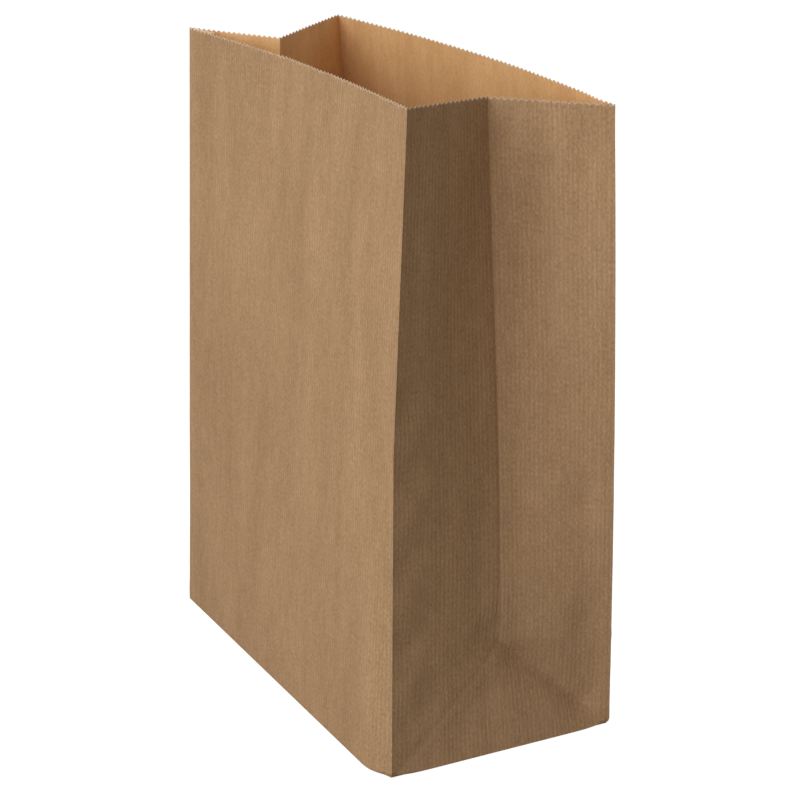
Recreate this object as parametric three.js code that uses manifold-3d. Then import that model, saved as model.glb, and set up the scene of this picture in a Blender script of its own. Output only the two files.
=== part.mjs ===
// Brown paper lunch bag: one sheet of kraft paper, folded and glued, with gussets and a block bottom.
//
// Millimetres, +Z up. X runs along the broad panels and Y from the front panel to the back panel.
// The origin is at the middle of the base, on the underside of the lowest base flap.
//
// The walls are one closed shell, built from horizontal rows of columns that follow the panels.
// Each corner, fold and diagonal crease is a column, so it is a line of edges in the mesh.

import * as THREE from 'three';
import Module from 'manifold-3d';
import { mergeVertices } from 'three/addons/utils/BufferGeometryUtils.js';

const wasm = await Module();
wasm.setup();

// Driving dimensions of the folded sheet
const WIDTH = 220;
const DEPTH = 120;
const HEIGHT = 300;
const PAPER = 0.15;

// Base: the folded-in end flaps, then the back flap, then the front flap lowest, each one layer of paper
const FLAP_LAP = 20;
const FLAP_EDGE_SETBACK = 0.2;
const SHELL_BOTTOM = 2 * PAPER;
const FLOOR_TOP = 3 * PAPER;

// Gusset: its centre crease stops at an apex, where two diagonal folds start. A flat fold would put the apex
// half the depth above the base. The open bag draws it down and in, and bows the crease above it further in.
const APEX_DROP = 13;
const APEX_HEIGHT = DEPTH / 2 - APEX_DROP;
const APEX_INSET = 14;
const APEX_SHIFT = 8;
const FOLD_BOW = new THREE.Vector2(-5.6, 4.2);
const CREASE_WIDTH = 0.8;

// The mouth of the open bag, where its corners lean in or out and its gusset creases push in
const MOUTH = {
  near: new THREE.Vector3(93.2, -38.1, HEIGHT - 1.5),
  left: new THREE.Vector3(-122.3, -45.0, HEIGHT - 3.3),
  right: new THREE.Vector3(116.3, 48.3, HEIGHT - 4.4),
  far: new THREE.Vector3(-102.8, 26.1, HEIGHT + 0.3),
  rightFold: new THREE.Vector3(66.3, 15.3, HEIGHT - 7.2),
  leftFold: new THREE.Vector3(-66.9, -21.9, HEIGHT - 0.9),
};
const FRONT_BOW = 6.5;
const BACK_BOW = 8;

// The near corner is rolled round at the base, so its crease starts further along the gusset
const ROLL_SHIFT = 5.6;
const ROLL_RUN = 18;
const ROLL_HEIGHT = 150;

// Saw-toothed cut along the mouth
const TOOTH_PITCH = 3.3;
const TOOTH_HEIGHT = 1;

// Longitudinal glued seam: a second layer inside the back panel, beside its far corner
const SEAM_WIDTH = 5;
const SEAM_STEP = 0.6;

// Mesh density
const PANEL_STEPS = 10;
const GUSSET_STEPS = 3;
const ROLL_PLACES = [1, 0.67, 0.33];
const ROWS_BELOW_APEX = 2;
const ROWS_ABOVE_APEX = 5;

const BASE = {
  near: new THREE.Vector3(WIDTH / 2, -DEPTH / 2, 0),
  left: new THREE.Vector3(-WIDTH / 2, -DEPTH / 2, 0),
  right: new THREE.Vector3(WIDTH / 2, DEPTH / 2, 0),
  far: new THREE.Vector3(-WIDTH / 2, DEPTH / 2, 0),
};

// A row below the apex is at a share of the apex height. One above it is at a share of the way to the mouth.
const rows = [];
for (let i = 0; i < ROWS_BELOW_APEX; i++) {
  rows.push({ below: true, share: i / ROWS_BELOW_APEX });
}
for (let i = 0; i <= ROWS_ABOVE_APEX; i++) {
  rows.push({ below: false, share: i / ROWS_ABOVE_APEX });
}

function pointTowards(from, to, distance) {
  return from.clone().add(to.clone().sub(from).setLength(distance));
}

/** Straight line up from a corner of the base to a corner of the mouth, on a row. */
function straightCorner(name, row) {
  const top = MOUTH[name];
  const height = row.below ? row.share * APEX_HEIGHT : APEX_HEIGHT + row.share * (top.z - APEX_HEIGHT);
  return BASE[name].clone().lerp(top, height / top.z);
}

/** How far the rolled corner's crease moves along Y at a height. */
function rollShift(height) {
  return ROLL_SHIFT * Math.max(0, 1 - height / ROLL_HEIGHT);
}

/** Point of a bag corner's crease on a row. */
function cornerPoint(name, row) {
  const point = straightCorner(name, row);
  point.y += name === 'near' ? rollShift(point.z) : 0;
  return point;
}

/** Curve that is 0 at both ends of a stretch and 1 at its middle. */
function parabola(share) {
  return 4 * share * (1 - share);
}

/** Point of a gusset's fold on a row, on the side of the fold that faces the named corner. */
function foldPoint(side, corner, opposite, row) {
  const apex = new THREE.Vector3(side * (WIDTH / 2 - APEX_INSET), side * APEX_SHIFT, APEX_HEIGHT);
  apex.y += Math.sign(BASE[corner].y) * CREASE_WIDTH / 2;
  if (row.below) {
    const base = { below: true, share: 0 };
    const foot = pointTowards(cornerPoint(corner, base), cornerPoint(opposite, base), CREASE_WIDTH);
    return foot.lerp(apex, row.share);
  }
  const mouthFold = side > 0 ? MOUTH.rightFold : MOUTH.leftFold;
  const top = pointTowards(mouthFold, MOUTH[corner], CREASE_WIDTH / 2);
  const bow = side * parabola(row.share);
  const point = apex.lerp(top, row.share);
  return point.add(new THREE.Vector3(bow * FOLD_BOW.x, bow * FOLD_BOW.y, 0));
}

/** Broad panel from one corner to the next, bowed along Y more and more towards the mouth. */
function panelPoint(from, to, along, bow, row) {
  const point = straightCorner(from, row).lerp(straightCorner(to, row), along);
  point.y += bow * Math.sin(Math.PI * along) * (point.z / HEIGHT) ** 2;
  if (to === 'near') {
    const turn = Math.max(0, 1 - (1 - along) * WIDTH / ROLL_RUN);
    point.y += rollShift(point.z) * turn ** 2;
  }
  return point;
}

// Columns run counter-clockwise seen from above. Each one gives its point on a row and its layers of paper.
const columns = [];

function addPanel(from, to, bow, seamFrom = Infinity) {
  const places = [];
  for (let i = 0; i < PANEL_STEPS; i++) {
    places.push(i / PANEL_STEPS);
  }
  if (seamFrom < 1) {
    const step = SEAM_STEP / WIDTH;
    places.push(seamFrom, seamFrom + step, 1 - step);
  }
  if (to === 'near') {
    places.push(...ROLL_PLACES.map((share) => 1 - share * ROLL_RUN / WIDTH));
  }
  places.sort((a, b) => a - b);
  for (const along of places) {
    const layers = along > seamFrom ? 2 : 1;
    columns.push({ layers, at: (row) => panelPoint(from, to, along, bow, row) });
  }
}

function addGusset(side, first, last) {
  const folds = [[first, last], [last, first]];
  for (let i = 0; i < GUSSET_STEPS; i++) {
    const along = i / GUSSET_STEPS;
    columns.push({
      layers: 1,
      at: (row) => cornerPoint(first, row).lerp(foldPoint(side, ...folds[0], row), along),
    });
  }
  columns.push({ layers: 1, at: (row) => foldPoint(side, ...folds[0], row) });
  for (let i = 0; i < GUSSET_STEPS; i++) {
    const along = i / GUSSET_STEPS;
    columns.push({
      layers: 1,
      at: (row) => foldPoint(side, ...folds[1], row).lerp(cornerPoint(last, row), along),
    });
  }
}

addPanel('left', 'near', FRONT_BOW);
addGusset(1, 'near', 'right');
addPanel('right', 'far', BACK_BOW, 1 - SEAM_WIDTH / WIDTH);
addGusset(-1, 'far', 'left');

/** Moves a closed counter-clockwise outline inwards by each column's own thickness, mitred at the corners. */
function insetOutline(outline) {
  return outline.map((point, i) => {
    const before = outline[(i + outline.length - 1) % outline.length];
    const after = outline[(i + 1) % outline.length];
    const incoming = new THREE.Vector2(point.x - before.x, point.y - before.y).normalize();
    const outgoing = new THREE.Vector2(after.x - point.x, after.y - point.y).normalize();
    const inward = new THREE.Vector2(-incoming.y - outgoing.y, incoming.x + outgoing.x).normalize();
    const squareness = inward.dot(new THREE.Vector2(-incoming.y, incoming.x));
    const distance = (columns[i].layers * PAPER) / squareness;
    return new THREE.Vector3(point.x + inward.x * distance, point.y + inward.y * distance, point.z);
  });
}

// Shell mesh
const vertices = [];
const triangles = [];

function addVertex(point) {
  vertices.push(point.x, point.y, point.z);
  return vertices.length / 3 - 1;
}

function addFace(flip, a, b, c) {
  if (flip) {
    triangles.push(a, c, b);
  } else {
    triangles.push(a, b, c);
  }
}

/** Skins the rows of one side of the wall, and returns the vertex numbers of each row. */
function addWallSide(outlines, flip) {
  const numbers = outlines.map((outline) => outline.map(addVertex));
  for (let r = 0; r + 1 < numbers.length; r++) {
    const [low, high] = [numbers[r], numbers[r + 1]];
    for (let i = 0; i < low.length; i++) {
      const next = (i + 1) % low.length;
      addFace(flip, low[i], low[next], high[next]);
      addFace(flip, low[i], high[next], high[i]);
    }
  }
  return numbers;
}

function addCap(outline, numbers, flip) {
  const flat = outline.map((point) => new THREE.Vector2(point.x, point.y));
  for (const [a, b, c] of THREE.ShapeUtils.triangulateShape(flat, [])) {
    addFace(flip, numbers[a], numbers[b], numbers[c]);
  }
}

const outerOutlines = rows.map((row) => columns.map((column) => column.at(row)));
const innerOutlines = outerOutlines.map(insetOutline);
outerOutlines[0].forEach((point) => { point.z = SHELL_BOTTOM; });
innerOutlines[0].forEach((point) => { point.z = FLOOR_TOP; });

const mouthRow = rows.length - 1;
const outerNumbers = addWallSide(outerOutlines.slice(0, mouthRow), false);
const innerNumbers = addWallSide(innerOutlines.slice(0, mouthRow), true);
addCap(outerOutlines[0], outerNumbers[0], true);
addCap(innerOutlines[0], innerNumbers[0], false);

/** Mouth points of one stretch: tooth valleys at the even places and tips at the odd ones. */
function mouthPoints(start, end, teeth) {
  const points = [];
  for (let i = 0; i <= 2 * teeth; i++) {
    const point = start.clone().lerp(end, i / (2 * teeth));
    point.z += i % 2 ? TOOTH_HEIGHT : 0;
    points.push(point);
  }
  return points;
}

// The top band: each stretch fans up to its tooth valleys, carries its teeth, and closes across the cut edge.
const outerMouth = outerOutlines[mouthRow];
const innerMouth = innerOutlines[mouthRow];
const outerColumns = outerMouth.map(addVertex);
const innerColumns = innerMouth.map(addVertex);

/** Vertex numbers of one side's mouth stretch, with the columns' own vertices at both ends. */
function mouthNumbers(outline, ends, i, next, teeth) {
  if (teeth === 0) {
    return [ends[i], ends[next]];
  }
  const between = mouthPoints(outline[i], outline[next], teeth).slice(1, -1).map(addVertex);
  return [ends[i], ...between, ends[next]];
}

function addMouthSide(lowStart, lowEnd, numbers, flip) {
  const valleys = numbers.length > 2 ? numbers.filter((_, i) => i % 2 === 0) : numbers;
  addFace(flip, lowStart, lowEnd, valleys[valleys.length - 1]);
  for (let i = 0; i + 1 < valleys.length; i++) {
    addFace(flip, lowStart, valleys[i + 1], valleys[i]);
  }
  for (let i = 1; i < numbers.length - 1; i += 2) {
    addFace(flip, numbers[i - 1], numbers[i + 1], numbers[i]);
  }
}

for (let i = 0; i < columns.length; i++) {
  const next = (i + 1) % columns.length;
  const teeth = Math.round(outerMouth[i].distanceTo(outerMouth[next]) / TOOTH_PITCH);
  const outer = mouthNumbers(outerMouth, outerColumns, i, next, teeth);
  const inner = mouthNumbers(innerMouth, innerColumns, i, next, teeth);
  addMouthSide(outerNumbers[mouthRow - 1][i], outerNumbers[mouthRow - 1][next], outer, false);
  addMouthSide(innerNumbers[mouthRow - 1][i], innerNumbers[mouthRow - 1][next], inner, true);
  for (let k = 0; k + 1 < outer.length; k++) {
    addFace(false, outer[k], outer[k + 1], inner[k + 1]);
    addFace(false, outer[k], inner[k + 1], inner[k]);
  }
}

/** Base flap as a trapezoid with 45 degree ends, hinged on the front (-1) or back (+1) edge.
 *  Its near end is cut back by cornerCut along the fold where the corner is rolled. */
function baseFlap(edge, bottom, cornerCut) {
  const hinge = edge * (DEPTH / 2 - FLAP_EDGE_SETBACK);
  const lip = -edge * FLAP_LAP / 2;
  const reach = Math.abs(hinge - lip);
  const half = WIDTH / 2 - FLAP_EDGE_SETBACK;
  const chamfer = cornerCut * ROLL_SHIFT / (ROLL_RUN + ROLL_SHIFT);
  const outline = new THREE.Shape([
    new THREE.Vector2(-half, hinge),
    new THREE.Vector2(half - cornerCut, hinge),
    new THREE.Vector2(half - chamfer, hinge - edge * chamfer),
    new THREE.Vector2(half - reach, lip),
    new THREE.Vector2(-half + reach, lip),
  ]);
  const depth = (SHELL_BOTTOM + FLOOR_TOP) / 2 - bottom;
  return new THREE.ExtrudeGeometry(outline, { depth, bevelEnabled: false }).translate(0, 0, bottom);
}

function toSolid(geometry) {
  const bare = geometry.clone();
  bare.deleteAttribute('normal');
  bare.deleteAttribute('uv');
  const merged = mergeVertices(bare);
  return new wasm.Manifold(new wasm.Mesh({
    numProp: 3,
    vertProperties: new Float32Array(merged.attributes.position.array),
    triVerts: new Uint32Array(merged.index.array),
  }));
}

function toGeometry(solid) {
  const mesh = solid.getMesh();
  const geometry = new THREE.BufferGeometry();
  geometry.setAttribute('position', new THREE.BufferAttribute(mesh.vertProperties, 3));
  geometry.setIndex(new THREE.BufferAttribute(mesh.triVerts, 1));
  geometry.computeVertexNormals();
  return geometry;
}

const shell = new THREE.BufferGeometry();
shell.setAttribute('position', new THREE.Float32BufferAttribute(vertices, 3));
shell.setIndex(triangles);

const frontFlap = baseFlap(-1, 0, ROLL_RUN);
const backFlap = baseFlap(1, PAPER, 0);
const bag = toSolid(shell).add(toSolid(frontFlap)).add(toSolid(backFlap));

const kraftPaper = new THREE.MeshStandardMaterial({ color: 0xa68463, roughness: 0.9, metalness: 0 });
const paperBag = new THREE.Mesh(toGeometry(bag), kraftPaper);
paperBag.name = 'paper_bag';

const lunchBag = new THREE.Group();
lunchBag.add(paperBag);

export default lunchBag;
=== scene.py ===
"""Brown paper lunch bag: a folded sheet of ribbed kraft paper, standing open on a white floor.

Lengths are in metres. X runs along the broad panels, Y from the front panel to the back panel, and Z up.
"""

import logging
import math
from dataclasses import dataclass, field
from enum import Enum

import bpy
from mathutils import Matrix, Vector, noise

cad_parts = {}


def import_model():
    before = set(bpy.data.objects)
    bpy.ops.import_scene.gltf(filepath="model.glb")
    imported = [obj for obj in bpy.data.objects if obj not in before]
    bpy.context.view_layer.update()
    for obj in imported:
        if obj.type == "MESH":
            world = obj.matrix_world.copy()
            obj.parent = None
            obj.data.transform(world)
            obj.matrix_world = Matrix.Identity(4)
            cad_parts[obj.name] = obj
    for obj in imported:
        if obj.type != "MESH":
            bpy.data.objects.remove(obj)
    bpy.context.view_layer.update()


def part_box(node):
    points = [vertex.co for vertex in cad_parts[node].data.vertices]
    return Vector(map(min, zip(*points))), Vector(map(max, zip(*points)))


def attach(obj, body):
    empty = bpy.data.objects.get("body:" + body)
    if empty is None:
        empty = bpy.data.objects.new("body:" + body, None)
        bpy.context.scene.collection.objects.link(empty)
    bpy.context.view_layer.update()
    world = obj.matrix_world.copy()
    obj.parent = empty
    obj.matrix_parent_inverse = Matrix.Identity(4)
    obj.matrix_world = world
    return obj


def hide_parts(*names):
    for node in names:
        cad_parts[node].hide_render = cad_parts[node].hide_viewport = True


LOG = logging.getLogger("lunch_bag")
MM = 0.001
NODE = "paper_bag"
UV_NAME = "sheet_metres"
# Mask of the sheet's cut edges, where the colour turns pale: partly the paper's own cut-edge colour, partly
# painted highlight
PALE_EDGE_AND_HIGHLIGHT_MASK = "cut_edge"

# The bag's depth, width and height go as 6 to 11 to 15
DEPTH_PARTS = 6
WIDTH_PARTS = 11
HEIGHT_PARTS = 15
PAPER = 0.15 * MM

# The rolled near corner: how far its crease moves back at the base, and how much of the front turns with it
ROLL_SHIFT = 5.6 * MM
ROLL_RUN = 18.0 * MM


class Panel(Enum):
    """The panels of the sheet, in their order along it."""

    TAB = "tab"
    LEFT_GUSSET = "left_gusset"
    FRONT = "front"
    RIGHT_GUSSET = "right_gusset"
    BACK = "back"


class Side(Enum):
    """Material slots of the bag's mesh."""

    OUTSIDE = 0
    INSIDE = 1
    CUT_EDGE = 2


def parabola(share: float) -> float:
    """Give 0 at both ends of a line and 1 at its middle.

    Args:
        share: How far along the line, from 0 to 1.

    Returns:
        The height of the curve.
    """
    return 4.0 * share * (1.0 - share)


def deselect_all() -> None:
    """Leave object mode with nothing selected and nothing active."""
    if bpy.context.object and bpy.context.object.mode != "OBJECT":
        bpy.ops.object.mode_set(mode="OBJECT")
    bpy.ops.object.select_all(action="DESELECT")
    bpy.context.view_layer.objects.active = None


def make_active(piece: bpy.types.Object) -> None:
    """Select one object alone and make it active.

    Args:
        piece: The object to select.
    """
    deselect_all()
    piece.select_set(True)
    bpy.context.view_layer.objects.active = piece


def give_thickness(piece: bpy.types.Object, thickness: float) -> None:
    """Turn an open skin into paper, from its outside inwards, and apply it.

    Args:
        piece: The skin, with its faces pointing out.
        thickness: The paper's thickness.
    """
    make_active(piece)
    solidify = piece.modifiers.new("paper", "SOLIDIFY")
    solidify.thickness = thickness
    solidify.offset = -1.0
    solidify.use_even_offset = True
    solidify.material_offset = Side.INSIDE.value
    solidify.material_offset_rim = Side.CUT_EDGE.value
    bpy.ops.object.modifier_apply(modifier=solidify.name)


# --- Finishes -------------------------------------------------------------------------------------


class NodeSketch:
    """Adds and joins shader nodes in one tree."""

    def __init__(self, tree: bpy.types.NodeTree) -> None:
        """Keep the tree to draw in.

        Args:
            tree: The node tree of a material, a world or a group.
        """
        self.tree = tree

    def add(self, kind: str, inputs: dict | None = None, **settings: object) -> bpy.types.Node:
        """Add one node.

        Args:
            kind: The node's type name.
            inputs: Input sockets by name or number, each a value or an output socket to link.
            settings: Attributes of the node itself.

        Returns:
            The new node.
        """
        node = self.tree.nodes.new(kind)
        for name, value in settings.items():
            setattr(node, name, value)
        for key, value in (inputs or {}).items():
            if isinstance(value, bpy.types.NodeSocket):
                self.tree.links.new(value, node.inputs[key])
            else:
                node.inputs[key].default_value = value
        return node

    def math(self, operation: str, first: object, second: object = 0.0) -> bpy.types.NodeSocket:
        """Add a Math node.

        Args:
            operation: Blender's name of the operation.
            first: First value or socket.
            second: Second value or socket.

        Returns:
            The result's socket.
        """
        return self.add("ShaderNodeMath", {0: first, 1: second}, operation=operation).outputs[0]

    def span(self, value: object, low: float, high: float,
             start: float = 0.0, end: float = 1.0) -> bpy.types.NodeSocket:
        """Map a range of values to another, clamped.

        Args:
            value: The socket to map.
            low: Input that gives start.
            high: Input that gives end.
            start: Output at low.
            end: Output at high.

        Returns:
            The result's socket.
        """
        inputs = {0: value, 1: low, 2: high, 3: start, 4: end}
        return self.add("ShaderNodeMapRange", inputs).outputs[0]

    def blend(self, share: object, first: object, second: object) -> bpy.types.NodeSocket:
        """Mix two colours.

        Args:
            share: How much of the second colour shows.
            first: First colour.
            second: Second colour.

        Returns:
            The mixed colour's socket.
        """
        node = self.add("ShaderNodeMix", {0: share, 6: first, 7: second}, data_type="RGBA")
        return node.outputs[2]

    def weighted_sum(self, terms: list[tuple]) -> bpy.types.NodeSocket:
        """Add values up by their weights.

        Args:
            terms: Pairs of a socket and its weight.

        Returns:
            The sum's socket.
        """
        parts = [self.math("MULTIPLY", value, weight) for value, weight in terms]
        total = parts[0]
        for part in parts[1:]:
            total = self.math("ADD", total, part)
        return total

    def stretched_noise(self, place: object, scale: tuple, detail: float) -> bpy.types.NodeSocket:
        """Add noise with its own scale along and up the sheet.

        Args:
            place: The sheet's coordinates, in metres.
            scale: Features for each metre along and up the sheet.
            detail: The noise's detail.

        Returns:
            The noise value's socket.
        """
        mapping = self.add("ShaderNodeMapping", {"Vector": place, "Scale": (*scale, 1.0)})
        inputs = {"Vector": mapping.outputs[0], "Scale": 1.0, "Detail": detail}
        return self.add("ShaderNodeTexNoise", inputs).outputs[0]


@dataclass(frozen=True)
class PaperNoise:
    """Noise stretched over the sheet, and the part of its range that is used.

    scale is the number of features for each metre along and up the sheet.
    """

    scale: tuple
    detail: float
    low: float
    high: float
    least: float = 0.0

    def draw(self, sketch: NodeSketch, place: bpy.types.NodeSocket) -> bpy.types.NodeSocket:
        """Add the noise to a tree.

        Args:
            sketch: The sketch to draw in.
            place: The sheet's coordinates, in metres.

        Returns:
            The socket of a value from least to 1.
        """
        value = sketch.stretched_noise(place, self.scale, self.detail)
        return sketch.span(value, self.low, self.high, self.least)


RIB_STRENGTH = PaperNoise(scale=(60.0, 22.0), detail=2.0, low=0.30, high=0.70, least=0.35)
CLOUD = PaperNoise(scale=(60.0, 12.0), detail=4.0, low=0.32, high=0.68)
STREAK = PaperNoise(scale=(340.0, 110.0), detail=4.0, low=0.30, high=0.70)
GRAIN = PaperNoise(scale=(1150.0, 620.0), detail=4.0, low=0.30, high=0.70)
RIB_WANDER_SCALE = (45.0, 9.0)
RIB_WANDER = 0.5
SPECK_SCALE = (1500.0, 480.0)
SPECK_SHARPNESS = 14.0


def open_group(name: str, inputs: dict, outputs: dict) -> tuple:
    """Start a shader node group.

    Args:
        name: The group's name.
        inputs: Input names to socket types.
        outputs: Output names to socket types.

    Returns:
        The group, its sketch, its input node and its output node.
    """
    group = bpy.data.node_groups.new(name, "ShaderNodeTree")
    for label, kind in inputs.items():
        group.interface.new_socket(label, in_out="INPUT", socket_type=kind)
    for label, kind in outputs.items():
        group.interface.new_socket(label, in_out="OUTPUT", socket_type=kind)
    sketch = NodeSketch(group)
    return group, sketch, sketch.add("NodeGroupInput"), sketch.add("NodeGroupOutput")


def make_rib_group() -> bpy.types.NodeTree:
    """Build the paper's machine ribs, which run up the sheet.

    Returns:
        The group, which puts out the ribs' height from 0 to 1.
    """
    group, sketch, given, result = open_group(
        "kraft_ribs",
        {"Place": "NodeSocketVector", "Ribs per metre": "NodeSocketFloat"},
        {"Height": "NodeSocketFloat"},
    )
    place = given.outputs["Place"]
    parts = sketch.add("ShaderNodeSeparateXYZ", {0: place})
    wander = sketch.stretched_noise(place, RIB_WANDER_SCALE, 1.0)
    along = sketch.math("MULTIPLY", parts.outputs[0], given.outputs["Ribs per metre"])
    along = sketch.math("ADD", along, sketch.math("MULTIPLY", wander, RIB_WANDER))
    wave = sketch.math("SINE", sketch.math("MULTIPLY", along, math.tau))
    swing = sketch.math("MULTIPLY", wave, RIB_STRENGTH.draw(sketch, place))
    # Half of a value from -1 to 1, plus a half, goes from 0 to 1
    height = sketch.math("MULTIPLY_ADD", swing, 0.5)
    height.node.inputs[2].default_value = 0.5
    sketch.tree.links.new(height, result.inputs[0])
    return group


def make_fibre_group() -> bpy.types.NodeTree:
    """Build the paper's fibres: a cloudy formation, streaks, fine grain and dark specks.

    Returns:
        The group, which puts out a cloud, a streak and a grain value and a speck mask, all from 0 to 1.
    """
    group, sketch, given, result = open_group(
        "kraft_fibres",
        {"Place": "NodeSocketVector", "Speck share": "NodeSocketFloat"},
        {"Cloud": "NodeSocketFloat", "Streak": "NodeSocketFloat", "Grain": "NodeSocketFloat",
         "Speck": "NodeSocketFloat"},
    )
    place = given.outputs["Place"]
    cloud, streak, grain = (layer.draw(sketch, place) for layer in (CLOUD, STREAK, GRAIN))
    coarse = sketch.stretched_noise(place, SPECK_SCALE, 1.0)
    limit = sketch.math("SUBTRACT", 1.0, given.outputs["Speck share"])
    speck = sketch.math("MULTIPLY", sketch.math("SUBTRACT", coarse, limit), SPECK_SHARPNESS)
    speck.node.use_clamp = True
    for socket, value in zip(result.inputs, (cloud, streak, grain, speck)):
        sketch.tree.links.new(value, socket)
    return group


@dataclass(frozen=True)
class KraftFinish:
    """One side of the kraft paper.

    Colours are linear. Relief is in metres. cloudiness and streakiness are shares of the tone, and grain is
    the rest. The cut edge turns pale as its mask, frayed by the grain, rises through
    edge_and_highlight_span. This paleness is partly the cut paper's own colour and partly a painted
    highlight where the edge catches light.
    """

    name: str
    pale: tuple
    deep: tuple
    speck: tuple
    rib_tint: float
    rib_relief: float
    grain_relief: float
    roughness: float
    cloudiness: float = 0.24
    streakiness: float = 0.22
    speck_share: float = 0.3
    speck_strength: float = 0.55
    roughness_spread: float = 0.06
    specular: float = 0.25
    fray: float = 0.16
    # Pale colour along the cut edges: partly the cut paper's own paler colour, partly a painted highlight where
    # the edges catch light
    edge_and_highlight_span: tuple = (0.75, 0.92)
    edge_and_highlight_strength: float = 0.7
    edge_and_highlight_colour: tuple = (0.80, 0.64, 0.47)
    ribs_per_metre: float = 435.0

    def build(self, ribs: bpy.types.NodeTree, fibres: bpy.types.NodeTree) -> bpy.types.Material:
        """Make the material.

        Args:
            ribs: The rib group.
            fibres: The fibre group.

        Returns:
            The new material.
        """
        material = bpy.data.materials.new(self.name)
        material.use_nodes = True
        sketch = NodeSketch(material.node_tree)
        shader = material.node_tree.nodes["Principled BSDF"]
        place = sketch.add("ShaderNodeUVMap", uv_map=UV_NAME).outputs[0]
        rib = sketch.add("ShaderNodeGroup", node_tree=ribs)
        fibre = sketch.add("ShaderNodeGroup", node_tree=fibres)
        for node in (rib, fibre):
            sketch.tree.links.new(place, node.inputs["Place"])
        rib.inputs["Ribs per metre"].default_value = self.ribs_per_metre
        fibre.inputs["Speck share"].default_value = self.speck_share

        tone = sketch.weighted_sum([
            (fibre.outputs["Cloud"], self.cloudiness),
            (fibre.outputs["Streak"], self.streakiness),
            (fibre.outputs["Grain"], 1.0 - self.streakiness - self.cloudiness),
        ])
        deep = (*self.deep, 1.0)
        colour = sketch.blend(tone, (*self.pale, 1.0), deep)
        groove = sketch.math("SUBTRACT", 1.0, rib.outputs["Height"])
        colour = sketch.blend(sketch.math("MULTIPLY", groove, self.rib_tint), colour, deep)
        specks = sketch.math("MULTIPLY", fibre.outputs["Speck"], self.speck_strength)
        colour = sketch.blend(specks, colour, (*self.speck, 1.0))
        # Paler along the cut edges: the cut paper's own colour plus a painted highlight
        edge = sketch.add("ShaderNodeAttribute", attribute_name=PALE_EDGE_AND_HIGHLIGHT_MASK).outputs["Fac"]
        frayed = sketch.math("SUBTRACT", edge, sketch.math("MULTIPLY", fibre.outputs["Grain"], self.fray))
        edge_and_highlight_paleness = sketch.span(frayed, *self.edge_and_highlight_span, 0.0, self.edge_and_highlight_strength)
        colour = sketch.blend(edge_and_highlight_paleness, colour, (*self.edge_and_highlight_colour, 1.0))
        sketch.tree.links.new(colour, shader.inputs["Base Color"])

        smoothest, roughest = self.roughness - self.roughness_spread, self.roughness + self.roughness_spread
        rough = sketch.span(fibre.outputs["Streak"], 0.0, 1.0, smoothest, roughest)
        sketch.tree.links.new(rough, shader.inputs["Roughness"])
        height = sketch.weighted_sum([
            (rib.outputs["Height"], self.rib_relief),
            (fibre.outputs["Grain"], self.grain_relief),
        ])
        bump = sketch.add("ShaderNodeBump", {"Height": height, "Distance": 1.0, "Strength": 1.0})
        sketch.tree.links.new(bump.outputs[0], shader.inputs["Normal"])
        shader.inputs["Specular IOR Level"].default_value = self.specular
        return material


OUTSIDE = KraftFinish("kraft_outside", pale=(0.655, 0.425, 0.240), deep=(0.325, 0.188, 0.091),
                      speck=(0.15, 0.08, 0.04), rib_tint=0.36, rib_relief=0.00007, grain_relief=0.00003,
                      roughness=0.82)
# Painted light: the paper's own inside colour, made paler and more orange than the outside's to paint in light
# that comes through the walls and bounces inside the bag
INSIDE = KraftFinish("kraft_inside_painted_glow", pale=(0.94, 0.60, 0.300), deep=(0.66, 0.375, 0.155),
                     speck=(0.22, 0.115, 0.05), rib_tint=0.10, rib_relief=0.000012, grain_relief=0.00004,
                     roughness=0.86, cloudiness=0.38)
CUT_EDGE = KraftFinish("kraft_cut_edge", pale=(0.80, 0.66, 0.50), deep=(0.66, 0.50, 0.35),
                       speck=(0.45, 0.30, 0.18), rib_tint=0.0, rib_relief=0.0, grain_relief=0.00001,
                       roughness=0.9)


# --- The folded sheet -----------------------------------------------------------------------------


# A dent's rise is left out where it has fallen below about a ten-thousandth
DENT_LIMIT = 9.0


@dataclass(frozen=True)
class Dent:
    """A soft swelling or hollow pressed into a panel. Its lengths are in millimetres.

    along and up are its middle on the panel, wide and tall its half sizes, rise its height outwards, and lean
    turns it, in degrees from upright towards the far end of the panel.
    """

    panel: Panel
    along: float
    up: float
    wide: float
    tall: float
    rise: float
    lean: float = 0.0

    def height(self, along: float, up: float) -> float:
        """Work out the rise at a place on the panel.

        Args:
            along: Distance along the panel, in metres.
            up: Height on the sheet, in metres.

        Returns:
            The rise in metres.
        """
        turn = math.radians(self.lean)
        across = (along / MM - self.along) * math.cos(turn) - (up / MM - self.up) * math.sin(turn)
        upward = (along / MM - self.along) * math.sin(turn) + (up / MM - self.up) * math.cos(turn)
        spread = (across / self.wide) ** 2 + (upward / self.tall) ** 2
        return self.rise * MM * math.exp(-spread) if spread < DENT_LIMIT else 0.0


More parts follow.
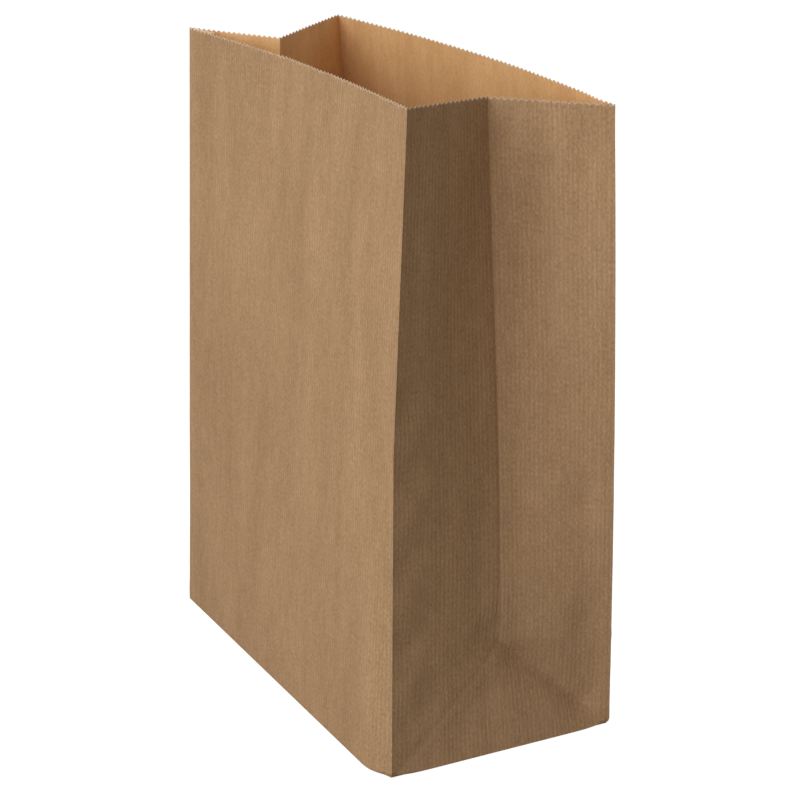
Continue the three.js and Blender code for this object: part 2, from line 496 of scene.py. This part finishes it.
@dataclass
class Wrinkles:
    """How the paper's panels depart from flat.

    Distances on a panel start at its first corner. Distances and heights are in millimetres. A scale is the
    number of features for each metre along and up the sheet.
    """

    edge_scallops: tuple = (43.0, 83.0, 119.0, 154.0)
    far_scallops: tuple = (54.0, 117.0, 169.0, 275.0)
    wave_scale: tuple = (16.0, 7.0)
    streak_scale: tuple = (75.0, 5.0)
    fine_scale: tuple = (170.0, 90.0)
    panel_seed: float = 7.3
    streak_seed: float = 3.1
    fine_seed: float = 8.7
    waviness: float = 0.55
    streakiness: float = 0.22
    fineness: float = 0.05
    crumple: float = 0.35
    crumple_reach: float = 18.0
    middle_calm: float = 0.6
    dents: list[Dent] = field(default_factory=list)

    def __post_init__(self) -> None:
        """List the dents of every panel."""
        gusset = Panel.RIGHT_GUSSET
        for up in self.edge_scallops:
            self.dents.append(Dent(gusset, 10.0, up, 8.0, 13.0, 1.3))
            self.dents.append(Dent(gusset, 9.0, up + 18.0, 9.0, 7.0, -1.0))
        for up in self.far_scallops:
            self.dents.append(Dent(gusset, 106.0, up, 8.0, 12.0, -1.2, 15.0))
        self.dents += [
            Dent(gusset, 78.0, 246.0, 5.0, 26.0, -0.9, 24.0),
            Dent(gusset, 70.0, 284.0, 3.0, 9.0, -0.5, 60.0),
            Dent(gusset, 74.0, 264.0, 7.0, 12.0, 1.2),
            Dent(gusset, 71.0, 216.0, 8.0, 16.0, 0.7),
            Dent(gusset, 100.0, 218.0, 9.0, 22.0, 1.2, 12.0),
            Dent(gusset, 90.0, 160.0, 11.0, 26.0, -1.3, -10.0),
            Dent(gusset, 84.0, 112.0, 10.0, 22.0, 0.7, 14.0),
            Dent(gusset, 40.0, 200.0, 10.0, 40.0, -0.6, 4.0),
            Dent(gusset, 34.0, 95.0, 12.0, 26.0, 0.6, -8.0),
            Dent(gusset, 60.0, 28.0, 26.0, 14.0, -0.9),
            Dent(Panel.FRONT, 92.0, 262.0, 8.0, 60.0, -1.0, 4.0),
            Dent(Panel.FRONT, 128.0, 250.0, 10.0, 55.0, 0.7, 3.0),
            Dent(Panel.FRONT, 176.0, 170.0, 14.0, 80.0, 0.7, 2.0),
            Dent(Panel.FRONT, 48.0, 170.0, 22.0, 60.0, 0.6, -4.0),
            Dent(Panel.FRONT, 30.0, 60.0, 24.0, 30.0, -0.9, 20.0),
            Dent(Panel.FRONT, 205.0, 24.0, 9.0, 18.0, 0.8, -20.0),
            Dent(Panel.BACK, 60.0, 180.0, 26.0, 70.0, 0.8, 5.0),
            Dent(Panel.BACK, 150.0, 120.0, 30.0, 60.0, -0.8, -6.0),
            Dent(Panel.BACK, 12.0, 288.0, 7.0, 14.0, -1.2, 10.0),
            Dent(Panel.LEFT_GUSSET, 30.0, 150.0, 11.0, 50.0, 0.8, 5.0),
            Dent(Panel.LEFT_GUSSET, 90.0, 190.0, 10.0, 45.0, -0.8, -5.0),
            Dent(Panel.LEFT_GUSSET, 60.0, 28.0, 26.0, 14.0, -0.9),
        ]

    def height(self, panel: Panel, along: float, length: float, up: float) -> float:
        """Work out how far the paper stands out at a place.

        Args:
            panel: The panel.
            along: Distance along the panel from its first corner, in metres.
            length: The panel's length, in metres.
            up: Height on the sheet, in metres.

        Returns:
            The distance outwards, in metres.
        """
        seed = list(Panel).index(panel) * self.panel_seed
        (wide, tall), (close, long), (small, low) = self.wave_scale, self.streak_scale, self.fine_scale
        wave = noise.noise(Vector((along * wide + seed, up * tall, seed)))
        streak = noise.noise(Vector((along * close, up * long + seed, self.streak_seed)))
        fine = noise.noise(Vector((along * small + seed, up * low, self.fine_seed)))
        free = math.sin(math.pi * min(max(along / length, 0.0), 1.0)) ** 0.5
        near_base = math.exp(-up / (self.crumple_reach * MM))
        rise = (wave * self.waviness + streak * self.streakiness) * MM * free
        rise += fine * MM * (self.fineness + self.crumple * near_base * (1.0 - free * self.middle_calm))
        return rise + sum(dent.height(along, up) for dent in self.dents if dent.panel is panel)


@dataclass
class FoldedSheet:
    """The bag's walls: a flat sheet, folded round its corners and gusset creases.

    fold_softness fills the gussets' centre crease, within fold_reach of it and round the height fold_level.
    The first diagonal fold is filled by diagonal_fill, which swells as a sine from the angle fill_start through
    fill_turn of a half turn. The last one is a valley. Both end within diagonal_fade, a share of the depth,
    past the apex.
    """

    width: float
    depth: float
    height: float
    paper: float = PAPER
    tooth_height: float = 1.0 * MM
    teeth_per_depth: int = 36
    tab_columns: int = 3
    tab_ramp: int = 3
    rows_above_apex: int = 60
    hem_rows: int = 3
    hem_radius: float = 0.5 * MM
    near_hem_radius: float = 3.2 * MM
    hem_fade: float = 9.0 * MM
    hem_lift: float = 0.05 * MM
    hem_flatness: float = 0.9
    apex_inset: float = 14.0 * MM
    apex_drop: float = 13.0 * MM
    apex_shift: float = 8.0 * MM
    fold_bow: tuple = (-5.6 * MM, 4.2 * MM)
    fold_softness: float = 1.7 * MM
    fold_reach: float = 8.0 * MM
    fold_level: float = 125.0 * MM
    fold_spread: float = 75.0 * MM
    front_bow: float = 6.5 * MM
    back_bow: float = 8.0 * MM
    layer_gap: float = 0.05 * MM
    crease_height: float = 0.2 * MM
    crease_width: float = 2.5 * MM
    roll_shift: float = ROLL_SHIFT
    roll_run: float = ROLL_RUN
    roll_height: float = 150.0 * MM
    diagonal_depth: float = 5.2 * MM
    diagonal_fade: float = 0.25
    diagonal_fill: float = 1.7 * MM
    fill_reach: float = 10.0 * MM
    fill_start: float = 0.25
    fill_turn: float = 0.62
    reach_above: float = 24.0 * MM
    reach_below: float = 8.0 * MM
    last_edge_fade: float = 8.0 * MM
    base_hold: float = 6.0 * MM
    back_edge_bulge: float = 1.4 * MM
    smooth_angle: float = 38.0
    wrinkles: Wrinkles = field(default_factory=Wrinkles)

    def __post_init__(self) -> None:
        """Work out the corners, the columns of the panels and the rows."""
        w, d, h = self.width / 2, self.depth / 2, self.height
        self.base = {"near": Vector((w, -d, 0)), "left": Vector((-w, -d, 0)),
                     "right": Vector((w, d, 0)), "far": Vector((-w, d, 0))}
        self.mouth = {
            "near": Vector((93.2 * MM, -38.1 * MM, h - 1.5 * MM)),
            "left": Vector((-122.3 * MM, -45.0 * MM, h - 3.3 * MM)),
            "right": Vector((116.3 * MM, 48.3 * MM, h - 4.4 * MM)),
            "far": Vector((-102.8 * MM, 26.1 * MM, h + 0.3 * MM)),
        }
        self.mouth_fold = {1: Vector((66.3 * MM, 15.3 * MM, h - 7.2 * MM)),
                           -1: Vector((-66.9 * MM, -21.9 * MM, h - 0.9 * MM))}
        self.apex_height = d - self.apex_drop
        self.half = self.teeth_per_depth
        self.step = self.depth / (2 * self.half)
        gusset, broad = 2 * self.half, round(self.width / self.step)
        self.panels = [(Panel.TAB, self.tab_columns), (Panel.LEFT_GUSSET, gusset), (Panel.FRONT, broad),
                       (Panel.RIGHT_GUSSET, gusset), (Panel.BACK, broad)]
        self.columns = sum(count for _, count in self.panels)
        below = [i * self.apex_height / self.half for i in range(1, self.half)]
        above = [i / self.rows_above_apex for i in range(self.rows_above_apex + 1)]
        self.rows = [("hem", i / self.hem_rows) for i in range(self.hem_rows)]
        self.rows += [("below", z) for z in below] + [("above", share) for share in above]

    def row_height(self, row: tuple, top: float) -> float:
        """Height of a row on a line that ends at a given height.

        Args:
            row: The row's kind and value.
            top: Height of the line's upper end.

        Returns:
            The height in metres.
        """
        kind, value = row
        if kind == "hem":
            return 0.0
        if kind == "below":
            return value
        return self.apex_height + value * (top - self.apex_height)

    def straight_corner(self, name: str, row: tuple) -> Vector:
        """Point of the straight line from a corner of the base to a corner of the mouth, on a row.

        Args:
            name: The corner.
            row: The row's kind and value.

        Returns:
            The point.
        """
        top = self.mouth[name]
        return self.base[name].lerp(top, self.row_height(row, top.z) / top.z)

    def shift_at(self, height: float) -> float:
        """How far the rolled near corner's crease moves along Y at a height.

        Args:
            height: The height in metres.

        Returns:
            The shift in metres.
        """
        return self.roll_shift * max(0.0, 1.0 - height / self.roll_height)

    def bulge_at(self, height: float) -> float:
        """How far the right back edge swells along Y at a height.

        Args:
            height: The height in metres.

        Returns:
            The swelling in metres.
        """
        return self.back_edge_bulge * math.sin(math.pi * min(height / self.height, 1.0))

    def corner(self, name: str, row: tuple) -> Vector:
        """Point of a corner's crease on a row.

        Args:
            name: The corner.
            row: The row's kind and value.

        Returns:
            The point.
        """
        point = self.straight_corner(name, row)
        if name == "near":
            point.y += self.shift_at(point.z)
        if name == "right":
            point.y += self.bulge_at(point.z)
        return point

    def gusset_point(self, side: int, first: str, last: str, place: float, row: tuple) -> Vector:
        """Point of a gusset on a row.

        Args:
            side: 1 for the right gusset and -1 for the left one.
            first: The corner that the gusset starts from.
            last: The corner that it ends at.
            place: Distance from the first corner along the sheet, from 0 to the depth.
            row: The row's kind and value.

        Returns:
            The point.
        """
        apex = Vector((side * (self.width / 2 - self.apex_inset), side * self.apex_shift, self.apex_height))
        start, end = self.corner(first, row), self.corner(last, row)
        if row[0] == "above":
            fold = apex.lerp(self.mouth_fold[side], row[1])
            bow = side * parabola(row[1])
            fold += Vector((bow * self.fold_bow[0], bow * self.fold_bow[1], 0.0))
            middle = self.depth / 2
            if place <= middle:
                return start.lerp(fold, place / middle)
            return fold.lerp(end, place / middle - 1.0)
        share = self.row_height(row, self.height) / self.apex_height
        up = share * self.depth / 2
        feet = [self.corner(name, ("hem", 0.0)) for name in (first, last)]
        first_fold, last_fold = feet[0].lerp(apex, share), feet[1].lerp(apex, share)
        if place < up:
            return start.lerp(first_fold, place / up)
        if place > self.depth - up:
            return last_fold.lerp(end, (place - self.depth + up) / up)
        return first_fold.lerp(last_fold, (place - up) / (self.depth - 2 * up))

    def panel_point(self, first: str, last: str, share: float, bow: float, row: tuple) -> Vector:
        """Point of a broad panel on a row.

        Args:
            first: The corner that the panel starts from.
            last: The corner that it ends at.
            share: How far along the panel, from 0 to 1.
            bow: How far the middle of its mouth moves along Y.
            row: The row's kind and value.

        Returns:
            The point.
        """
        point = self.straight_corner(first, row).lerp(self.straight_corner(last, row), share)
        point.y += bow * math.sin(math.pi * share) * (point.z / self.height) ** 2
        if first == "right":
            point.y += self.bulge_at(point.z) * (1.0 - share)
        if last == "near":
            turn = max(0.0, 1.0 - (1.0 - share) * self.width / self.roll_run)
            point.y += self.shift_at(point.z) * turn ** 2
        return point

    def flat_fold(self, panel: Panel, column: int, count: int, row: tuple) -> Vector:
        """Point of the folded sheet before it is wrinkled.

        Args:
            panel: The panel.
            column: The column on the panel.
            count: The panel's number of columns.
            row: The row's kind and value.

        Returns:
            The point.
        """
        if panel is Panel.TAB:
            share = 1.0 - (count - column) * self.step / self.width
            return self.panel_point("right", "far", share, self.back_bow, row)
        if panel is Panel.FRONT:
            return self.panel_point("left", "near", column / count, self.front_bow, row)
        if panel is Panel.BACK:
            return self.panel_point("right", "far", column / count, self.back_bow, row)
        if panel is Panel.LEFT_GUSSET:
            return self.gusset_point(-1, "far", "left", column * self.step, row)
        return self.gusset_point(1, "near", "right", column * self.step, row)

    def hem_radius_at(self, panel: Panel, column: int, count: int) -> float:
        """Radius of the turn into the base, which is softest at the near and right corners.

        Args:
            panel: The panel.
            column: The column on the panel.
            count: The panel's number of columns.

        Returns:
            The radius in metres.
        """
        if panel is Panel.FRONT:
            away = (count - column) * self.step
        elif panel is Panel.RIGHT_GUSSET:
            away = min(column, count - column) * self.step
        elif panel is Panel.BACK:
            away = column * self.step
        else:
            return self.hem_radius
        softness = math.exp(-((away / self.hem_fade) ** 2))
        return self.hem_radius + (self.near_hem_radius - self.hem_radius) * softness

    def fold_fill(self, place: float, up: float) -> float:
        """How much a gusset's centre crease is softened, most at the height fold_level.

        Args:
            place: Distance along the gusset, in metres.
            up: Height on the sheet, in metres.

        Returns:
            The rise in metres.
        """
        off = (place - self.depth / 2) / self.fold_reach
        level = (up - self.fold_level) / self.fold_spread
        return self.fold_softness * math.exp(-off * off) * math.exp(-level * level)

    def diagonal_valley(self, place: float, up: float) -> float:
        """Shape along a gusset's two diagonal folds: the first is filled soft, the last is a sharper valley.

        Args:
            place: Distance along the gusset, in metres.
            up: Height on the sheet, in metres.

        Returns:
            The rise, negative in the valley, in metres.
        """
        rise = 0.0
        level = up * self.depth / (2 * self.apex_height)
        for start in (0.0, self.depth):
            run = abs(place - start)
            off = (level - run) / math.sqrt(2.0)
            along = (run + level) / self.depth
            fade = max(0.0, 1.0 - max(0.0, along - 1.0) / self.diagonal_fade)
            if start > 0.0:
                reach = self.reach_above if off > 0.0 else self.reach_below
                fade *= min(1.0, along / self.diagonal_fade)
                rise -= self.diagonal_depth * fade * math.exp(-abs(off) / reach)
            else:
                swell = math.pi * min(along, 1.0) * self.fill_turn + self.fill_start
                fade *= max(0.0, math.sin(swell))
                rise += self.diagonal_fill * fade * math.exp(-((off / self.fill_reach) ** 2))
        return rise

    def rise_at(self, panel: Panel, along: float, length: float, up: float) -> float:
        """How far the paper stands out from its flat fold.

        Args:
            panel: The panel.
            along: Distance along the panel from its first corner, in metres.
            length: The panel's length, in metres.
            up: Height on the sheet, in metres.

        Returns:
            The distance outwards, in metres.
        """
        rise = self.wrinkles.height(panel, along, length, up)
        if panel in (Panel.RIGHT_GUSSET, Panel.LEFT_GUSSET):
            rise += self.fold_fill(along, up)
            rise += self.diagonal_valley(along, up) * min(1.0, (length - along) / self.last_edge_fade)
        if panel is Panel.BACK:
            rise += self.crease_height * math.exp(-(((up - self.apex_height) / self.crease_width) ** 2))
        return rise * (1.0 - math.exp(-up / self.base_hold))

    def tab_tuck(self, index: int) -> float:
        """How far the glued tab lies inside the back panel.

        Args:
            index: The column of the sheet.

        Returns:
            The distance inwards, in metres, which is 0 past the tab.
        """
        share = (self.tab_columns + self.tab_ramp - index) / self.tab_ramp
        return (self.paper + self.layer_gap) * max(0.0, min(1.0, share))

    def column_list(self) -> list[tuple[Panel, int, int]]:
        """List every column as its panel, its place on it and the panel's count.

        Returns:
            One entry for each column of vertices.
        """
        places = [(panel, i, count) for panel, count in self.panels for i in range(count)]
        last, count = self.panels[-1]
        return places + [(last, count, count)]

    def surface(self) -> list[list[Vector]]:
        """Fold and wrinkle the whole sheet.

        Returns:
            The points, row by row.
        """
        places = self.column_list()
        flat = [[self.flat_fold(*place, row) for place in places] for row in self.rows]
        points = []
        for row, line in zip(self.rows, flat):
            made = []
            for i, (panel, column, count) in enumerate(places):
                point = line[i].copy()
                radius = self.hem_radius_at(panel, column, count)
                along, length = column * self.step, count * self.step
                if panel is Panel.TAB:
                    panel, length = Panel.BACK, self.width
                    along = self.width - (count - column) * self.step
                rise = self.rise_at(panel, along, length, point.z)
                tuck = self.tab_tuck(i)
                if row[0] == "hem":
                    angle = row[1] * math.pi / 2
                    tuck += radius * (1.0 - math.sin(angle))
                    point.z = self.hem_lift + radius * (1.0 - math.cos(angle)) * self.hem_flatness
                elif point.z < radius:
                    lifted = self.hem_lift + radius * self.hem_flatness
                    point.z = max(point.z, lifted + point.z * (1.0 - self.hem_flatness))
                made.append(point + self.inward(line, i) * (tuck - rise))
            points.append(made)
        for i, point in enumerate(points[-1]):
            if i % 2:
                point.z += self.tooth_height
        return points

    @staticmethod
    def inward(line: list[Vector], index: int) -> Vector:
        """Level direction into the bag at a column of a row.

        Args:
            line: The row's points.
            index: The column.

        Returns:
            A level unit vector.
        """
        before, after = line[max(index - 1, 0)], line[min(index + 1, len(line) - 1)]
        tangent = after - before
        return Vector((-tangent.y, tangent.x, 0.0)).normalized()

    def build(self, materials: list[bpy.types.Material]) -> bpy.types.Object:
        """Make the walls.

        Args:
            materials: One material for each side, in the order of Side.

        Returns:
            The finished walls.
        """
        deselect_all()
        rows = len(self.rows) - 1
        bpy.ops.mesh.primitive_grid_add(x_subdivisions=self.columns, y_subdivisions=rows, size=1.0)
        sheet = bpy.context.object
        sheet.name = "bag_walls"
        points = self.surface()
        places = []
        for vertex in sheet.data.vertices:
            i = round((vertex.co.x + 0.5) * self.columns)
            j = round((vertex.co.y + 0.5) * rows)
            places.append((i, j))
        self.write_sheet_coordinates(sheet, places, points)
        edge = sheet.data.attributes.new(PALE_EDGE_AND_HIGHLIGHT_MASK, "FLOAT", "POINT")
        for vertex, (i, j) in zip(sheet.data.vertices, places):
            vertex.co = points[j][i]
            # The mouth's top row and the tab's free edge get the pale edge colour, which is partly a painted
            # highlight
            edge.data[vertex.index].value = 1.0 if j == rows or i == 0 else 0.0
        for material in materials:
            sheet.data.materials.append(material)
        give_thickness(sheet, self.paper)
        make_active(sheet)
        bpy.ops.object.shade_smooth_by_angle(angle=math.radians(self.smooth_angle))
        return sheet

    def write_sheet_coordinates(self, sheet: bpy.types.Object, places: list, points: list) -> None:
        """Give the sheet its flat coordinates in metres, so that its ribs follow the paper.

        Args:
            sheet: The grid.
            places: The column and row of each vertex.
            points: The folded points, row by row.
        """
        layer = sheet.data.uv_layers.active
        layer.name = UV_NAME
        for loop in sheet.data.loops:
            i, j = places[loop.vertex_index]
            layer.data[loop.index].uv = (i * self.step, points[j][i].z)


# --- The block bottom -----------------------------------------------------------------------------


@dataclass
class BlockBottom:
    """The base: two end flaps folded in first, then the back flap, then the front flap lowest."""

    width: float
    depth: float
    paper: float = PAPER
    lap: float = 20.0 * MM
    setback: float = 0.9 * MM
    end_reach: float = 70.0 * MM
    layer_gap: float = 0.01 * MM
    cuts: int = 12
    roll_shift: float = ROLL_SHIFT
    roll_run: float = ROLL_RUN

    def clear_rolled_corner(self, x: float, y: float) -> float:
        """Keep a flap's point behind the rolled near corner.

        Args:
            x: The point's x.
            y: The point's y.

        Returns:
            The y that keeps it inside the bag.
        """
        turn = x - self.width / 2 + self.roll_run
        if turn <= 0.0:
            return y
        return max(y, -self.depth / 2 + self.setback + turn * self.roll_shift / self.roll_run)

    def flap(self, name: str, hinge: tuple, lip: tuple, low: float,
             materials: list[bpy.types.Material]) -> bpy.types.Object:
        """Make one flap from a plane.

        Args:
            name: The flap's name.
            hinge: The two ends of its fold line, as (x, y) pairs.
            lip: The two ends of its cut edge, next to the same ends of the fold line.
            low: Height of its underside.
            materials: One material for each side, in the order of Side.

        Returns:
            The flap.
        """
        deselect_all()
        bpy.ops.mesh.primitive_plane_add(size=1.0, location=(0.0, 0.0, 0.0))
        piece = bpy.context.object
        piece.name = name
        for vertex in piece.data.vertices:
            ends = hinge if vertex.co.y < 0 else lip
            x, y = ends[0] if vertex.co.x < 0 else ends[1]
            vertex.co = (x, y, low)
        make_active(piece)
        bpy.ops.object.mode_set(mode="EDIT")
        bpy.ops.mesh.select_all(action="SELECT")
        bpy.ops.mesh.subdivide(number_cuts=self.cuts)
        bpy.ops.object.mode_set(mode="OBJECT")
        for vertex in piece.data.vertices:
            vertex.co.y = self.clear_rolled_corner(vertex.co.x, vertex.co.y)
        if piece.data.polygons[0].normal.z > 0:
            bpy.ops.object.mode_set(mode="EDIT")
            bpy.ops.mesh.select_all(action="SELECT")
            bpy.ops.mesh.flip_normals()
            bpy.ops.object.mode_set(mode="OBJECT")
        layer = piece.data.uv_layers.active
        layer.name = UV_NAME
        for loop in piece.data.loops:
            layer.data[loop.index].uv = piece.data.vertices[loop.vertex_index].co.xy
        for material in materials:
            piece.data.materials.append(material)
        give_thickness(piece, self.paper)
        return piece

    def build(self, materials: list[bpy.types.Material]) -> list[bpy.types.Object]:
        """Make the four flaps.

        Args:
            materials: One material for each side, in the order of Side.

        Returns:
            The flaps.
        """
        half, edge, lip = self.width / 2 - self.setback, self.depth / 2 - self.setback, self.lap / 2
        slant = edge + lip
        layer = self.paper + self.layer_gap
        flaps = [
            self.flap("front_flap", ((-half, -edge), (half, -edge)),
                      ((-half + slant, lip), (half - slant, lip)), 0.0, materials),
            self.flap("back_flap", ((-half, edge), (half, edge)),
                      ((-half + slant, -lip), (half - slant, -lip)), layer, materials),
        ]
        for side, name in ((-1, "left_end_flap"), (1, "right_end_flap")):
            outer, inner = side * half, side * (half - self.end_reach)
            flaps.append(self.flap(name, ((outer, -edge), (outer, edge)),
                                   ((inner, -edge / 2), (inner, edge / 2)), 2 * layer, materials))
        return flaps


# --- The studio -----------------------------------------------------------------------------------


@dataclass(frozen=True)
class SoftLight:
    """A square light, with its angles in degrees round from the front and up, and its power in watts."""

    name: str
    azimuth: float
    elevation: float
    power: float
    size: float = 1.05
    distance: float = 1.2


LIGHTS = (
    SoftLight("key", azimuth=21.0, elevation=18.0, power=8.8),
    SoftLight("fill", azimuth=-15.0, elevation=48.0, power=2.4),
    SoftLight("back", azimuth=222.0, elevation=28.0, power=5.0),
)


@dataclass
class Studio:
    """A white floor, a soft light low at the front, weaker ones above and behind, and the camera."""

    azimuth: float = 62.47
    elevation: float = 19.74
    distance: float = 1.1406
    right: float = 0.0063
    rise: float = 0.1277
    lens: float = 103.5
    sensor: float = 36.0
    light_aim: float = 0.2
    ambient: float = 0.32
    ambient_colour: tuple = (1.0, 0.93, 0.86, 1.0)
    floor_size: float = 14.0
    floor_drop: float = 0.1 * MM
    floor_grey: float = 0.34
    floor_glow: float = 0.93

    @staticmethod
    def direction(azimuth: float, elevation: float) -> Vector:
        """Unit vector towards a place around the object.

        Args:
            azimuth: Degrees round from the front.
            elevation: Degrees up.

        Returns:
            The direction.
        """
        a, e = math.radians(azimuth), math.radians(elevation)
        return Vector((math.sin(a) * math.cos(e), -math.cos(a) * math.cos(e), math.sin(e)))

    def facing(self, back: Vector) -> Matrix:
        """Rotation that looks against a direction, with its top up.

        Args:
            back: Unit vector from the target towards the viewer.

        Returns:
            The rotation.
        """
        side = Vector((0, 0, 1)).cross(back).normalized()
        return Matrix((side, back.cross(side), back)).transposed()

    def add_camera(self) -> None:
        """Place the camera."""
        back = self.direction(self.azimuth, self.elevation)
        turn = self.facing(back)
        place = back * self.distance + turn.col[0] * self.right + turn.col[1] * self.rise
        data = bpy.data.cameras.new("camera")
        data.lens = self.lens
        data.sensor_width = self.sensor
        camera = bpy.data.objects.new("camera", data)
        camera.matrix_world = Matrix.Translation(place) @ turn.to_4x4()
        bpy.context.collection.objects.link(camera)
        bpy.context.scene.camera = camera

    def add_soft_light(self, lamp: SoftLight) -> None:
        """Place one soft light, aimed at the bag's middle.

        Args:
            lamp: The light.
        """
        back = self.direction(lamp.azimuth, lamp.elevation)
        data = bpy.data.lights.new(lamp.name, "AREA")
        data.size = lamp.size
        data.energy = lamp.power
        light = bpy.data.objects.new(lamp.name, data)
        place = back * lamp.distance + Vector((0, 0, self.light_aim))
        light.matrix_world = Matrix.Translation(place) @ self.facing(back).to_4x4()
        bpy.context.collection.objects.link(light)

    def add_world(self) -> None:
        """Make the surroundings white to look at and dimmer as light."""
        world = bpy.data.worlds.new("surroundings")
        world.use_nodes = True
        bpy.context.scene.world = world
        sketch = NodeSketch(world.node_tree)
        background = world.node_tree.nodes["Background"]
        seen = sketch.add("ShaderNodeLightPath").outputs["Is Camera Ray"]
        strength = sketch.span(seen, 0.0, 1.0, self.ambient, 1.0)
        sketch.tree.links.new(strength, background.inputs["Strength"])
        colour = sketch.blend(seen, self.ambient_colour, (1.0, 1.0, 1.0, 1.0))
        sketch.tree.links.new(colour, background.inputs["Color"])

    def add_floor(self) -> None:
        """Make the floor, grey to the light but glowing white to look at."""
        deselect_all()
        bpy.ops.mesh.primitive_plane_add(size=self.floor_size, location=(0.0, 0.0, -self.floor_drop))
        floor = bpy.context.object
        floor.name = "floor"
        material = bpy.data.materials.new("floor_white")
        material.use_nodes = True
        sketch = NodeSketch(material.node_tree)
        shader = material.node_tree.nodes["Principled BSDF"]
        shader.inputs["Base Color"].default_value = (self.floor_grey, self.floor_grey, self.floor_grey, 1.0)
        shader.inputs["Roughness"].default_value = 1.0
        shader.inputs["Specular IOR Level"].default_value = 0.0
        glow = sketch.add("ShaderNodeEmission", {"Strength": self.floor_glow})
        seen = sketch.add("ShaderNodeLightPath").outputs["Is Camera Ray"]
        plain = sketch.add("ShaderNodeEmission", {"Strength": 0.0})
        choice = sketch.add("ShaderNodeMixShader", {0: seen, 1: plain.outputs[0], 2: glow.outputs[0]})
        total = sketch.add("ShaderNodeAddShader", {0: shader.outputs[0], 1: choice.outputs[0]})
        output = material.node_tree.nodes["Material Output"]
        sketch.tree.links.new(total.outputs[0], output.inputs["Surface"])
        floor.data.materials.append(material)

    def build(self) -> None:
        """Set up the whole studio."""
        bpy.context.scene.view_settings.view_transform = "Standard"
        self.add_camera()
        for lamp in LIGHTS:
            self.add_soft_light(lamp)
        self.add_world()
        self.add_floor()


def join_pieces(pieces: list[bpy.types.Object], name: str) -> bpy.types.Object:
    """Join pieces of one sheet into one object.

    Args:
        pieces: The pieces, the first of which stays.
        name: The joined object's name.

    Returns:
        The joined object.
    """
    make_active(pieces[0])
    for piece in pieces[1:]:
        piece.select_set(True)
    bpy.ops.object.join()
    pieces[0].name = name
    pieces[0].data.name = name
    return pieces[0]


def main() -> None:
    """Build the studio and the bag."""
    logging.basicConfig(level=logging.INFO)
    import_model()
    Studio().build()
    LOG.info("studio: floor, lights, surroundings and camera")

    ribs, fibres = make_rib_group(), make_fibre_group()
    materials = [finish.build(ribs, fibres) for finish in (OUTSIDE, INSIDE, CUT_EDGE)]
    low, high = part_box(NODE)
    depth = high.y - low.y
    width, height = depth * WIDTH_PARTS / DEPTH_PARTS, depth * HEIGHT_PARTS / DEPTH_PARTS
    sheet = FoldedSheet(width=width, depth=depth, height=height)
    walls = sheet.build(materials)
    LOG.info("walls: %d faces", len(walls.data.polygons))
    flaps = BlockBottom(width=sheet.width, depth=depth).build(materials)
    LOG.info("block bottom: %d flaps", len(flaps))
    bag = join_pieces([walls, *flaps], "folded_bag")
    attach(bag, "root")
    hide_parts(NODE)
    LOG.info("bag: %d faces", len(bag.data.polygons))


if __name__ == "__main__":
    main()
